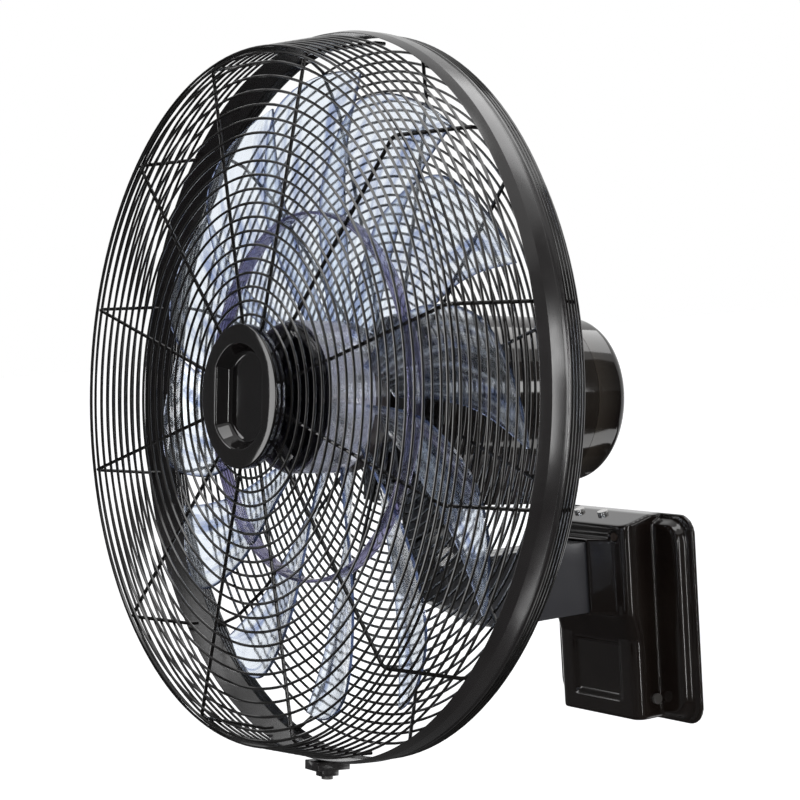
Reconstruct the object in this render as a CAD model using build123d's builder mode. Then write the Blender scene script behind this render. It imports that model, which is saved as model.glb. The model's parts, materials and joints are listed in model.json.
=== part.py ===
"""A wall mounted fan: wall bracket, arm, tilting knuckle, swinging motor head, wire cage and blade wheel.

Millimetres, +Z up. The origin is the middle of the wall plate's back face, and the fan blows towards -Y.
"""

from build123d import *
import math
import os

os.makedirs("parts", exist_ok=True)

# ---------------------------------------------------------------- driving dimensions
# wall bracket, measured out from the wall
base_width = 177
base_height = 168
base_corner = 16
flange_thick = 4
panel_width = 163
panel_height = 158
panel_out = 12
panel_chamfer = 3
panel_chamfer_long = 7
base_wall = 3
slope_shift = 1
plate_width = 138
plate_height = 128
plate_thick = 2.5
plate_fold_inset = 8
wall_hole_x = 110
wall_hole_z = 100
wall_hole_r = 3.25
cable_window = 50

box_width = 101
box_corner = 9
box_top = 84
box_front_top = 77
box_roof_slope = 14.5
step_top = 6
step_bottom = -16
box_bottom = -80
upper_out = 41
lower_out = 36
recess_width = 60
recess_top = -18
recess_bottom = -65
recess_depth = 2
recess_draft = 30

collar_width = 74
collar_reach = 13
collar_lip = 2.5
arm_play = 0.3

# arm
arm_width = 32
arm_top = 64
arm_under = 7
arm_bend_out = 145
nose_bend_out = 191
nose_bend_z = 31
nose_z = 43
arm_wall = 4
foot_width = 78
foot_back_out = 14
channel_end_out = 160

# screws
screw_r = 2.2
screw_head_r = 4.4
screw_head_thick = 2.4
screw_sides = 12
hex_sides = 6
top_screw_out = 21
top_screw_left = -30
top_screw_gap = 30
top_screw_long = 16
side_screw_out = 13
side_screw_z = -64
side_screw_long = 8
plug_r = 3.5
plug_x = 37
plug_z = 68
plug_rise = 0.8

# tilt joint
pivot_out = 194
pivot_z = 70
ear_r = 22
slot_width = 18
slot_floor = 25
tongue_r = 20
tongue_play = 0.3
tongue_lap = 5
bolt_r = 4
bolt_play = 0.05
bolt_head_r = 8
bolt_head_thick = 5
knob_r = 17
knob_thick = 12
rest_tilt = 5.4

# knuckle and swivel
neck_back = 88
neck_rise = 121
neck_foot = 27
neck_width = 32
neck_front = 24
neck_rear = 22
washer_thick = 1
post_r = 6
post_seat = 8
post_play = 0.05
bush_wall = 2
bush_long = 10
cap_gap = 0.3
cap_thick = 2
cap_r = 8.5
cap_screw_long = 8

# gearbox below the motor, measured from the swing axis
gear_under = 80
gear_width = 100
gear_front = 34
gear_back = 72
gear_corner = 10
gear_wall = 3
gear_wall_rise = 42
swing_motor_back = 43
swing_motor_r = 24.5
swing_motor_thick = 8
stand_r = 3
stand_reach = 20
stand_rise = 4
crank_r = 13
crank_thick = 3
crank_shaft_r = 2.5
crank_play = 0.4

# motor, measured forward of the middle of the rim
motor_r = 65
motor_front = -53
motor_split = -200
motor_back = -238
motor_chamfer_wide = 17
motor_chamfer_long = 22
motor_wall = 3
nose_r = 22
nose_bore_r = 6
nose_front = -30
shaft_r = 4
shaft_play = 0.05
race_r = 11
race_wide = 7
race_front = -44
race_rear = -206
round_sides = 20
stator_long = 46
stator_front = -82
stator_bore = 34
rotor_gap = 0.5

# band that clamps the two halves of the cage together
band_r = 272.4
band_wall = 4.9
band_lip_deep = 5.5
band_lip = 1.6
band_front = 17
band_back = -12
band_bevel = 3.5
band_bevel_long = 9
band_sides = 48

# wires; the rings have straight sides, and insets are from the band
ring_sides = 24
ring_wire = 2.4
rib_wire = 3
ribs = 12
first_rib = 15
rib_bend = 5
face_front = 78
shoulder_inset = 17
shoulder_w = 74
side_entry_gap = 0.5
band_ring_play = 2.8
centre_ring_r = 50
face_ring_first = 60
face_ring_last_gap = 11.8
face_rings = 6
side_rings = 2
rear_mid = 41
rear_mid_r = 150
rear_bow = 35
rear_bow_inset = 35
rear_edge = 24
rear_edge_inset = 8.5
rear_ring_inset = 3.9
rear_ring_first = 62
rear_ring_count = 3
seat_r = 42
seat_thick = 2
nut_r = 34
nut_lap = 2
nut_thick = 7
nut_sides = 12

# clip that closes the band at the bottom
clip_width = 18
clip_rise = 7
latch_rise = 5
latch_inset = 7
clip_screw_long = 7

# blade wheel
blades = 12
hub_r = 57
hub_front = 50
hub_back = -10
hub_wall = 2.4
hub_sides = 36
hub_boss_r = 9
hub_boss_back = 12
hub_front_thick = 11
tip_gap = 19
first_tip = 2
blade_root_depth = 2
blade_pitch = 410
blade_middle = 9
blade_rake = 9
blade_thick = 2
blade_camber = 3
waist_past_band = 2
outer_inset = 53
heel_inset = 26
root_lead_lag = 4
root_trail_lag = 28
waist_lag = 32
outer_lag = 25
heel_lag = 13
tip_lag = 0.5
blade_band_r = 138
blade_band_wall = 2.4
blade_band_front = 30
blade_band_back = 18
blade_nut_r = 9
blade_nut_thick = 6

# centre badge
badge_r = 53
badge_front = 86
dish_r = 39
dish_floor_r = 33.5
dish_floor = 76
badge_thick = 2.2
badge_seat_r = 45

# ---------------------------------------------------------------- frames
tilt = math.radians(rest_tilt)
right = Vector(1, 0, 0)
forward = Vector(0, -math.cos(tilt), math.sin(tilt))
up = Vector(0, math.sin(tilt), math.cos(tilt))
pivot = Vector(0, -pivot_out, pivot_z)
centre = pivot + forward * neck_back + up * neck_rise

# on the wall: x to the right, y up, z out into the room
wall = Plane(origin=(0, 0, 0), x_dir=right, z_dir=(0, -1, 0))
# level plane at the middle of the wall plate: x to the right, y out from the wall, z down
level = Plane(origin=(0, 0, 0), x_dir=right, z_dir=(0, 0, -1))
# middle plane of the bracket: x out from the wall, y up
bracket_side = Plane(origin=(0, 0, 0), x_dir=(0, -1, 0), z_dir=(-1, 0, 0))
# middle plane of the knuckle, on the tilt pivot: x forward, y up
knuckle_side = Plane(origin=pivot, x_dir=forward, z_dir=(-1, 0, 0))
# square to the swing axis, on the tilt pivot: x to the right, y backwards, z up
swing = Plane(origin=pivot, x_dir=right, z_dir=up)
# square to the fan's axis, in the middle of the rim: x to the right, y up, z forward
fan = Plane(origin=centre, x_dir=right, z_dir=forward)
fan_axis = Axis(centre, forward)
# the same seen from behind: z backwards
fan_back = Plane(origin=centre, x_dir=right, z_dir=forward * -1)


def keep(piece, name):
    """Labels a finished piece and writes it."""
    piece.part.label = name
    export_step(piece.part, f"parts/{name}.step")


def screw(plane, length):
    """A pan head screw whose head seats on the plane and whose shank goes below it."""
    with BuildPart(plane) as piece:
        with BuildSketch(plane):
            RegularPolygon(screw_head_r, screw_sides)
        extrude(amount=screw_head_thick)
        with BuildSketch(plane):
            RegularPolygon(screw_r, screw_sides)
        extrude(amount=-length)
    return piece


# ---------------------------------------------------------------- wall plate
with BuildPart() as wall_plate:
    with BuildSketch(wall):
        Rectangle(plate_width, plate_height)
        with GridLocations(wall_hole_x, wall_hole_z, 2, 2):
            Circle(wall_hole_r, mode=Mode.SUBTRACT)
        Rectangle(cable_window, cable_window, mode=Mode.SUBTRACT)
    extrude(amount=plate_thick)
    # folded edges that carry the cover
    with BuildSketch(wall):
        fold_rise = (plate_height - plate_thick) / 2
        with Locations((0, fold_rise), (0, -fold_rise)):
            Rectangle(plate_width - 2 * plate_fold_inset, plate_thick)
    extrude(amount=panel_out - base_wall)
keep(wall_plate, "wall_plate")

# ---------------------------------------------------------------- screws and plug of the bracket
roof_rise = math.radians(box_roof_slope)
roof_out = Vector(0, -math.sin(roof_rise), math.cos(roof_rise))
roof = Plane(origin=(0, -upper_out, box_front_top), x_dir=right, z_dir=roof_out)
cover_top = box_front_top + (upper_out - top_screw_out) * math.tan(roof_rise)

with BuildPart() as top_screws:
    for place in range(2):
        spot = (top_screw_left + top_screw_gap * place, -top_screw_out, cover_top)
        add(screw(Plane(origin=spot, x_dir=right, z_dir=roof_out), top_screw_long).part)
keep(top_screws, "top_screws")

with BuildPart() as side_screws:
    for side in (-1, 1):
        spot = (side * box_width / 2, -side_screw_out - screw_head_r, side_screw_z)
        add(screw(Plane(origin=spot, x_dir=(0, 1, 0), z_dir=(side, 0, 0)), side_screw_long).part)
keep(side_screws, "side_screws")

with BuildPart() as front_plug:
    with BuildSketch(wall.offset(upper_out - base_wall)):
        with Locations((plug_x, plug_z)):
            RegularPolygon(plug_r, screw_sides)
    extrude(amount=base_wall + plug_rise)
keep(front_plug, "front_plug")

# ---------------------------------------------------------------- bracket cover
def box_outline(level, reach):
    """The cover's box at one level: a rounded rectangle that starts behind the wall."""
    depth = reach + 2 * box_corner
    plane = Plane(origin=(0, depth / 2 - reach, level), x_dir=right, z_dir=(0, 0, 1))
    with BuildSketch(plane) as outline:
        RectangleRounded(box_width, depth, box_corner)
    return outline.sketch


with BuildPart() as outer_box:
    add(box_outline(box_bottom, lower_out))
    extrude(amount=step_bottom - box_bottom)
    add(box_outline(step_top, upper_out))
    extrude(amount=box_top - step_top)
    loft([box_outline(step_bottom, lower_out), box_outline(step_top, upper_out)], ruled=True)
    split(bisect_by=roof, keep=Keep.BOTTOM)
    split(bisect_by=wall, keep=Keep.TOP)

# the hollow of the box, square inside
with BuildPart() as inner_box:
    with BuildSketch(bracket_side):
        with BuildLine():
            roof_drop = base_wall / math.cos(roof_rise)
            Polyline(
                (0, box_bottom + base_wall),
                (lower_out - base_wall, box_bottom + base_wall),
                (lower_out - base_wall, step_bottom - slope_shift),
                (upper_out - base_wall, step_top - slope_shift),
                (upper_out - base_wall, box_front_top - roof_drop),
                (panel_out, box_front_top - roof_drop),
                (0, box_front_top - roof_drop),
                close=True,
            )
        make_face()
    extrude(amount=box_width / 2 - base_wall, both=True)

recess_middle = (recess_top + recess_bottom) / 2
arm_middle = (arm_top + arm_under) / 2
arm_height = arm_top - arm_under

with BuildPart() as bracket_cover:
    with BuildSketch(wall):
        RectangleRounded(base_width, base_height, base_corner)
    extrude(amount=flange_thick)
    with BuildSketch(wall):
        RectangleRounded(panel_width, panel_height, base_corner)
    extrude(amount=panel_out)
    panel_face = bracket_cover.faces().sort_by(Axis.Y)[0]
    chamfer(panel_face.edges(), panel_chamfer, panel_chamfer_long, reference=panel_face)
    add(outer_box.part)
    # collar that flares from the arm to the box
    with BuildSketch(level.offset(collar_lip - arm_under)):
        with BuildLine():
            Polyline(
                (-collar_width / 2, upper_out),
                (-arm_width / 2 - collar_lip, upper_out + collar_reach),
                (arm_width / 2 + collar_lip, upper_out + collar_reach),
                (collar_width / 2, upper_out),
                (collar_width / 2, upper_out - base_wall),
                (-collar_width / 2, upper_out - base_wall),
                close=True,
            )
        make_face()
    extrude(amount=-arm_height - 2 * collar_lip)
    # recess on the lower box
    with BuildSketch(wall.offset(lower_out)):
        with Locations((0, recess_middle)):
            Rectangle(recess_width, recess_top - recess_bottom)
    extrude(amount=-recess_depth, taper=recess_draft, mode=Mode.SUBTRACT)
    # open back
    with BuildSketch(wall):
        pocket_inset = base_wall + panel_chamfer
        pocket_height = panel_height - 2 * pocket_inset
        RectangleRounded(panel_width - 2 * pocket_inset, pocket_height, base_corner - pocket_inset)
    extrude(amount=panel_out - base_wall, mode=Mode.SUBTRACT)
    add(inner_box.part, mode=Mode.SUBTRACT)
    # way through for the arm
    with BuildSketch(wall.offset(upper_out - 2 * base_wall)):
        with Locations((0, arm_middle)):
            Rectangle(arm_width + 2 * arm_play, arm_height + 2 * arm_play)
    extrude(amount=collar_reach + 3 * base_wall, mode=Mode.SUBTRACT)
    # screw holes in the roof and low on the sides
    add(top_screws.part, mode=Mode.SUBTRACT)
    add(side_screws.part, mode=Mode.SUBTRACT)
    add(front_plug.part, mode=Mode.SUBTRACT)
keep(bracket_cover, "bracket_cover")

# ---------------------------------------------------------------- arm
with BuildPart() as arm:
    # inside the cover, the foot fills the box up to its roof
    with BuildSketch(wall.offset(foot_back_out)):
        with Locations((0, arm_under)):
            foot_height = box_front_top - roof_drop - arm_under
            Rectangle(foot_width, foot_height, align=(Align.CENTER, Align.MIN))
    extrude(amount=upper_out - base_wall - foot_back_out)
    add(top_screws.part, mode=Mode.SUBTRACT)
    with BuildSketch(bracket_side):
        with BuildLine():
            Polyline(
                (foot_back_out, arm_top),
                (foot_back_out, arm_under),
                (arm_bend_out, arm_under),
                (nose_bend_out, nose_bend_z),
                (pivot_out + ear_r, nose_z),
                (pivot_out + ear_r, pivot_z),
                (pivot_out - ear_r, pivot_z),
                (pivot_out - ear_r, arm_top),
                close=True,
            )
        make_face()
        with Locations((pivot_out, pivot_z)):
            Circle(ear_r)
    extrude(amount=arm_width / 2, both=True)
    # slot for the knuckle's tongue
    with BuildSketch(bracket_side):
        with Locations((pivot_out, pivot_z - slot_floor)):
            Rectangle(4 * ear_r, 4 * ear_r, align=(Align.CENTER, Align.MIN))
        with Locations((pivot_out - ear_r, pivot_z - slot_floor)):
            Rectangle(2 * ear_r, 4 * ear_r, align=(Align.MAX, Align.MIN), mode=Mode.SUBTRACT)
    extrude(amount=slot_width / 2, both=True, mode=Mode.SUBTRACT)
    # cable channel
    with BuildSketch(bracket_side):
        with BuildLine():
            Polyline(
                (foot_back_out, arm_top - arm_wall),
                (foot_back_out, arm_under + arm_wall),
                (arm_bend_out, arm_under + arm_wall),
                (channel_end_out, nose_bend_z),
                (channel_end_out, arm_top - arm_wall),
                close=True,
            )
        make_face()
    extrude(amount=arm_width / 2 - arm_wall, both=True, mode=Mode.SUBTRACT)
    with BuildSketch(bracket_side):
        with Locations((pivot_out, pivot_z)):
            RegularPolygon(bolt_r, screw_sides, False)
    extrude(amount=arm_width, both=True, mode=Mode.SUBTRACT)
keep(arm, "arm")

# ---------------------------------------------------------------- tilt joint
with BuildPart() as tilt_bolt:
    with BuildSketch(knuckle_side.offset(-arm_width / 2)):
        RegularPolygon(bolt_head_r, hex_sides)
    extrude(amount=-bolt_head_thick)
    with BuildSketch(knuckle_side.offset(-arm_width / 2)):
        Circle(bolt_r)
    extrude(amount=arm_width + knob_thick)
keep(tilt_bolt, "tilt_bolt")

with BuildPart() as tilt_knob:
    with BuildSketch(knuckle_side.offset(arm_width / 2)):
        RegularPolygon(knob_r, hex_sides)
        RegularPolygon(knob_r, hex_sides, rotation=180 / hex_sides)
        RegularPolygon(bolt_r + bolt_play, screw_sides, False, mode=Mode.SUBTRACT)
    extrude(amount=knob_thick)
keep(tilt_knob, "tilt_knob")

tongue_width = slot_width - 2 * tongue_play
neck_top = neck_rise - gear_under - washer_thick
with BuildPart() as tilt_knuckle:
    with BuildSketch(knuckle_side):
        Circle(tongue_r)
        Rectangle(2 * tongue_r, neck_foot + tongue_lap, align=(Align.CENTER, Align.MIN))
    extrude(amount=tongue_width / 2, both=True)
    with BuildSketch(knuckle_side):
        with BuildLine():
            Polyline(
                (-neck_rear, neck_foot),
                (neck_front, neck_foot),
                (neck_front, neck_top),
                (-neck_rear, neck_top),
                close=True,
            )
        make_face()
    extrude(amount=neck_width / 2, both=True)
    with BuildSketch(knuckle_side):
        RegularPolygon(bolt_r + bolt_play, round_sides, False)
    extrude(amount=arm_width, both=True, mode=Mode.SUBTRACT)
    with BuildSketch(swing.offset(neck_top)):
        RegularPolygon(post_r, round_sides, False)
    extrude(amount=-post_seat, mode=Mode.SUBTRACT)
keep(tilt_knuckle, "tilt_knuckle")

# ---------------------------------------------------------------- swivel post and what rides on it
floor_under = neck_rise - gear_under
floor_top = floor_under + gear_wall
bush_top = floor_under + bush_long
cap_spot = pivot + up * (bush_top + cap_gap + cap_thick)
cap_screw = screw(Plane(origin=cap_spot, x_dir=right, z_dir=up), cap_screw_long)
keep(cap_screw, "cap_screw")

bush_r = post_r + post_play + bush_wall
with BuildPart() as swivel_post:
    with BuildSketch(swing.offset(neck_top - post_seat)):
        Circle(post_r)
    extrude(amount=bush_top + cap_gap - neck_top + post_seat)
    add(cap_screw.part, mode=Mode.SUBTRACT)
keep(swivel_post, "swivel_post")

with BuildPart() as post_cap:
    with BuildSketch(swing.offset(bush_top + cap_gap)):
        RegularPolygon(cap_r, screw_sides)
    extrude(amount=cap_thick)
    add(cap_screw.part, mode=Mode.SUBTRACT)
keep(post_cap, "post_cap")

with BuildPart() as thrust_washer:
    with BuildSketch(swing.offset(neck_top)):
        RegularPolygon(neck_width / 2, round_sides)
        RegularPolygon(post_r + post_play, round_sides, False, mode=Mode.SUBTRACT)
    extrude(amount=washer_thick)
keep(thrust_washer, "thrust_washer")

with BuildPart() as swivel_bush:
    with BuildSketch(swing.offset(floor_under)):
        RegularPolygon(bush_r, screw_sides, False)
        RegularPolygon(post_r + post_play, round_sides, False, mode=Mode.SUBTRACT)
    extrude(amount=bush_long)
keep(swivel_bush, "swivel_bush")

# ---------------------------------------------------------------- gearbox and swing drive
gear_long = gear_front + gear_back
gear_middle = (gear_back - gear_front) / 2
stand_top = floor_top + stand_rise
with BuildPart() as gearbox_housing:
    with BuildSketch(swing.offset(floor_under)):
        with Locations((0, gear_middle)):
            RectangleRounded(gear_width, gear_long, gear_corner)
    extrude(amount=gear_wall_rise)
    with BuildSketch(swing.offset(floor_top)):
        with Locations((0, gear_middle)):
            Rectangle(gear_width - 2 * gear_wall, gear_long - 2 * gear_wall)
    extrude(amount=gear_wall_rise, mode=Mode.SUBTRACT)
    # boss of the swivel bush and the stands of the swing motor
    with BuildSketch(swing.offset(floor_under)):
        RegularPolygon(bush_r + bush_wall, screw_sides, False)
    extrude(amount=bush_long)
    with BuildSketch(swing.offset(floor_top)):
        with Locations((-stand_reach, swing_motor_back), (stand_reach, swing_motor_back)):
            RegularPolygon(stand_r, screw_sides)
    extrude(amount=stand_rise)
    with BuildSketch(swing.offset(floor_under)):
        RegularPolygon(bush_r, screw_sides, False)
    extrude(amount=bush_long, mode=Mode.SUBTRACT)
    # the walls end on the round of the motor
    with BuildSketch(fan):
        Circle(motor_r)
    extrude(amount=motor_back, mode=Mode.SUBTRACT)
keep(gearbox_housing, "gearbox_housing")

crank_under = floor_top + crank_play
crank_top = crank_under + crank_thick
with BuildPart() as swing_motor:
    with BuildSketch(swing.offset(stand_top)):
        with Locations((0, swing_motor_back)):
            RegularPolygon(swing_motor_r, round_sides)
            RegularPolygon(crank_shaft_r + shaft_play, screw_sides, False, mode=Mode.SUBTRACT)
    extrude(amount=swing_motor_thick)
keep(swing_motor, "swing_motor")

with BuildPart() as swing_crank:
    with BuildSketch(swing.offset(crank_under)):
        with Locations((0, swing_motor_back)):
            RegularPolygon(crank_r, screw_sides)
    extrude(amount=crank_thick)
    with BuildSketch(swing.offset(crank_top)):
        with Locations((0, swing_motor_back)):
            RegularPolygon(crank_shaft_r, screw_sides)
    extrude(amount=stand_top - crank_top + swing_motor_thick)
keep(swing_crank, "swing_crank")

# ---------------------------------------------------------------- motor
front_wall = motor_front - motor_wall
bore_r = motor_r - motor_wall
with BuildPart() as motor_housing:
    with BuildSketch(fan.offset(motor_split)):
        Circle(motor_r)
    extrude(amount=motor_front - motor_split)
    with BuildSketch(fan.offset(motor_front)):
        RegularPolygon(nose_r, round_sides, False)
    extrude(amount=nose_front - motor_front)
    with BuildSketch(fan.offset(motor_split)):
        RegularPolygon(bore_r, round_sides)
    extrude(amount=front_wall - motor_split, mode=Mode.SUBTRACT)
    # seat of the front bearing and the way through for the shaft
    with BuildSketch(fan.offset(front_wall)):
        RegularPolygon(race_r, round_sides)
    extrude(amount=race_front - front_wall, mode=Mode.SUBTRACT)
    with BuildSketch(fan.offset(race_front)):
        RegularPolygon(nose_bore_r, screw_sides)
    extrude(amount=nose_front - race_front, mode=Mode.SUBTRACT)
keep(motor_housing, "motor_housing")

# rear end of the motor, of many short straight sides, drawn in towards its back
with BuildPart() as motor_rear_cover:
    with BuildSketch(fan_back.offset(-motor_split)):
        RegularPolygon(motor_r, band_sides)
    extrude(amount=motor_split - motor_back)
    back_face = motor_rear_cover.faces().sort_by(fan_axis)[0]
    chamfer(back_face.edges(), motor_chamfer_wide, motor_chamfer_long, reference=back_face)
    # seat of the rear bearing
    with BuildSketch(fan.offset(motor_split)):
        RegularPolygon(race_r, round_sides)
    extrude(amount=race_rear - race_wide - motor_split, mode=Mode.SUBTRACT)
keep(motor_rear_cover, "motor_rear_cover")

with BuildPart() as ball_bearings:
    for front in (race_front, race_rear):
        with BuildSketch(fan.offset(front)):
            RegularPolygon(race_r, round_sides)
            RegularPolygon(shaft_r + shaft_play, round_sides, False, mode=Mode.SUBTRACT)
        extrude(amount=-race_wide)
keep(ball_bearings, "ball_bearings")

with BuildPart() as stator:
    with BuildSketch(fan.offset(stator_front)):
        RegularPolygon(bore_r, round_sides // 2)
        RegularPolygon(stator_bore, round_sides, False, mode=Mode.SUBTRACT)
    extrude(amount=-stator_long)
keep(stator, "stator")

# rotor core pressed on its shaft
shaft_back = race_rear - race_wide
with BuildPart() as rotor:
    with BuildSketch(fan.offset(stator_front)):
        RegularPolygon(stator_bore - rotor_gap, round_sides)
    extrude(amount=-stator_long)
    with BuildSketch(fan.offset(shaft_back)):
        Circle(shaft_r)
    extrude(amount=hub_front - shaft_back)
keep(rotor, "rotor")

# ---------------------------------------------------------------- wires of the cage
half_wire = ring_wire / 2
ring_turn = 180 / ring_sides
band_inner_r = band_r - band_wall
band_lip_r = band_inner_r - band_lip_deep
band_ring_r = band_inner_r - band_ring_play - half_wire
band_entry_r = band_lip_r - side_entry_gap
shoulder_r = band_r - shoulder_inset
rib_front = face_front - ring_wire
rib_back = rib_front - rib_wire
side_slope = (band_entry_r - shoulder_r) / (shoulder_w - band_front)
lip_back = band_front - band_lip
foot_front = lip_back - ring_wire


def side_r(forward_by):
    """Radius of the side wires' middles at a place along the fan's axis."""
    return shoulder_r + (shoulder_w - forward_by) * side_slope


def ring_outline(radius):
    """A wire ring of straight sides, with the middle of each side at the radius."""
    with BuildSketch() as outline:
        RegularPolygon(radius + half_wire, ring_sides, False, ring_turn)
        RegularPolygon(radius - half_wire, ring_sides, False, ring_turn, mode=Mode.SUBTRACT)
    return outline.sketch


# flat rings of the front: the badge's ring, the rings of the face and the shoulder ring
face_ring_step = (shoulder_r - face_ring_last_gap - face_ring_first) / (face_rings - 1)
face_radii = [centre_ring_r]
face_radii += [face_ring_first + face_ring_step * place for place in range(face_rings)]
face_radii += [shoulder_r]
with BuildPart() as front_rings:
    for radius in face_radii:
        with BuildSketch(fan.offset(rib_front)):
            add(ring_outline(radius))
        extrude(amount=ring_wire)
keep(front_rings, "front_rings")

# rings round the side of the front, and the one that the band holds
side_step = (shoulder_w - band_front) / (side_rings + 1)
with BuildPart() as side_wires:
    for place in range(1, side_rings + 1):
        back = shoulder_w - side_step * place - half_wire
        with BuildSketch(fan.offset(back)):
            add(ring_outline(side_r(back)))
        extrude(amount=ring_wire)
    with BuildSketch(fan.offset(foot_front)):
        add(ring_outline(band_ring_r))
    extrude(amount=ring_wire)
keep(side_wires, "side_wires")

# one rib of the front: along the face, over the shoulder, down the side and out to the band
rib_side_top = side_r(rib_front) - half_wire
rib_side_foot = side_r(foot_front) - half_wire
with BuildPart() as front_rib:
    with BuildSketch(Plane.XZ):
        with BuildLine():
            Polyline(
                (centre_ring_r - half_wire, rib_front),
                (rib_side_top - rib_bend, rib_front),
                (rib_side_top, rib_front - rib_bend),
                (rib_side_foot, foot_front),
                (band_ring_r + half_wire, foot_front),
                (band_ring_r + half_wire, foot_front - rib_wire),
                (rib_side_foot - rib_wire, foot_front - rib_wire),
                (rib_side_top - rib_wire, rib_back - rib_bend / 2),
                (rib_side_top - rib_wire - rib_bend / 2, rib_back),
                (centre_ring_r - half_wire, rib_back),
                close=True,
            )
        make_face()
    extrude(amount=rib_wire / 2, both=True)

with BuildPart(fan) as front_ribs:
    with PolarLocations(0, ribs, start_angle=first_rib):
        add(front_rib.part)
keep(front_ribs, "front_ribs")

# one rib of the back: from the seat on the motor out to the band's rear edge
seat_front = motor_front + seat_thick
rear_ring_r = band_r - rear_ring_inset
rear_edge_r = rear_ring_r - rear_edge_inset
rear_bow_r = rear_edge_r - rear_bow_inset
rear_path = [
    (nose_r + nut_lap, seat_front + rib_wire),
    (seat_r, seat_front + rib_wire),
    (rear_mid_r, -rear_mid),
    (rear_bow_r, -rear_bow),
    (rear_edge_r, -rear_edge),
    (rear_ring_r + half_wire, band_back - ring_wire),
]


def rear_rib_front(radius):
    """Place of a rear rib's front along the fan's axis at a radius."""
    for (near_r, near), (far_r, far) in zip(rear_path, rear_path[1:]):
        if radius <= far_r:
            return near + (far - near) * (radius - near_r) / (far_r - near_r)
    return rear_path[-1][1]


with BuildPart() as rear_rib:
    with BuildSketch(Plane.XZ):
        with BuildLine():
            back_path = [(radius, place - rib_wire) for radius, place in reversed(rear_path)]
            Polyline(*rear_path, *back_path, close=True)
        make_face()
    extrude(amount=rib_wire / 2, both=True)

with BuildPart(fan) as rear_ribs:
    with PolarLocations(0, ribs, start_angle=first_rib):
        add(rear_rib.part)
keep(rear_ribs, "rear_ribs")

rear_ring_step = (rear_edge_r - rear_ring_first) / rear_ring_count
rear_radii = [rear_ring_first + rear_ring_step * place for place in range(rear_ring_count + 1)]
with BuildPart() as rear_rings:
    for radius in rear_radii:
        front = rear_rib_front(radius - half_wire) - rib_wire
        with BuildSketch(fan.offset(front)):
            add(ring_outline(radius))
        extrude(amount=-ring_wire)
    with BuildSketch(fan.offset(band_back)):
        add(ring_outline(rear_ring_r))
    extrude(amount=-ring_wire)
keep(rear_rings, "rear_rings")

# seat of the rear grille on the motor, and the nut that clamps its ribs there
with BuildPart() as grille_seat:
    with BuildSketch(fan.offset(motor_front)):
        RegularPolygon(seat_r, round_sides)
        RegularPolygon(nose_r, round_sides, False, mode=Mode.SUBTRACT)
    extrude(amount=seat_thick)
keep(grille_seat, "grille_seat")

with BuildPart() as grille_nut:
    with BuildSketch(fan.offset(seat_front + rib_wire)):
        RegularPolygon(nut_r, nut_sides)
        RegularPolygon(nose_r, round_sides, False, mode=Mode.SUBTRACT)
    extrude(amount=nut_thick)
keep(grille_nut, "grille_nut")

# ---------------------------------------------------------------- band and its clip
latch_foot = band_r + clip_rise + latch_rise
latch_middle = (band_front + band_back) / 2
latch_spot = centre - up * latch_foot + forward * latch_middle
clip_screw = screw(Plane(origin=latch_spot, x_dir=right, z_dir=up * -1), clip_screw_long)
keep(clip_screw, "clip_screw")

# the band is a ring of many short straight sides, drawn in at its front, with a lip inside
band_long = band_front - band_back
band_turn = 180 / band_sides
bevel_angle = math.degrees(math.atan(band_bevel / band_bevel_long))
with BuildPart() as rim_band:
    with BuildSketch(fan.offset(band_back)):
        RegularPolygon(band_r, band_sides, False, band_turn)
    extrude(amount=band_long - band_bevel_long)
    with BuildSketch(fan.offset(band_front - band_bevel_long)):
        RegularPolygon(band_r, band_sides, False, band_turn)
    extrude(amount=band_bevel_long, taper=bevel_angle)
    with BuildSketch(fan.offset(band_back)):
        RegularPolygon(band_inner_r, band_sides, False, band_turn)
    extrude(amount=lip_back - band_back, mode=Mode.SUBTRACT)
    with BuildSketch(fan.offset(lip_back)):
        RegularPolygon(band_lip_r, band_sides, False, band_turn)
    extrude(amount=band_lip, mode=Mode.SUBTRACT)
keep(rim_band, "rim_band")

clip_foot = band_r + clip_rise
with BuildPart() as rim_clip:
    with BuildSketch(fan.offset(band_back)):
        with Locations((0, -clip_foot)):
            Rectangle(clip_width, clip_rise, align=(Align.CENTER, Align.MIN))
    extrude(amount=band_long)
    with BuildSketch(fan.offset(band_back + latch_inset)):
        with Locations((0, -clip_foot)):
            Rectangle(clip_width / 2, latch_rise, align=(Align.CENTER, Align.MAX))
    extrude(amount=band_long - 2 * latch_inset)
    add(clip_screw.part, mode=Mode.SUBTRACT)
keep(rim_clip, "rim_clip")

# ---------------------------------------------------------------- blade wheel
tip_r = band_lip_r - tip_gap
blade_root_r = hub_r - blade_root_depth
# edges of one blade from the root out: radius, lag of the leading edge, lag of the trailing edge,
# both in degrees behind the tip against the way it turns
blade_edges = (
    (blade_root_r, root_lead_lag, root_trail_lag),
    (blade_band_r + waist_past_band, root_lead_lag / 2, waist_lag),
    (tip_r - outer_inset, 0, outer_lag),
    (tip_r - heel_inset, 0, heel_lag),
    (tip_r, 0, tip_lag),
)
blade_axis_lag = waist_lag / 2


def blade_point(radius, lag, bulge, behind):
    """A point of the blade's helical skin, with the blade's middle along the x axis."""
    turn = math.radians(lag - blade_axis_lag)
    lean = blade_rake * (radius - blade_root_r) / (tip_r - blade_root_r)
    height = blade_middle + lean + blade_pitch * turn / math.tau - bulge - behind
    return (radius * math.cos(turn), radius * math.sin(turn), height)


def blade_rows(behind):
    """Leading, middle and trailing points of the skin at each station, this far behind the front."""
    return [
        (
            blade_point(radius, lead, 0, behind),
            blade_point(radius, (lead + trail) / 2, blade_camber * (trail - lead) / waist_lag, behind),
            blade_point(radius, trail, 0, behind),
        )
        for radius, lead, trail in blade_edges
    ]


def facet(*corners):
    """A flat face between its corners."""
    return make_face(Polyline(*corners, close=True))


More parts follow.
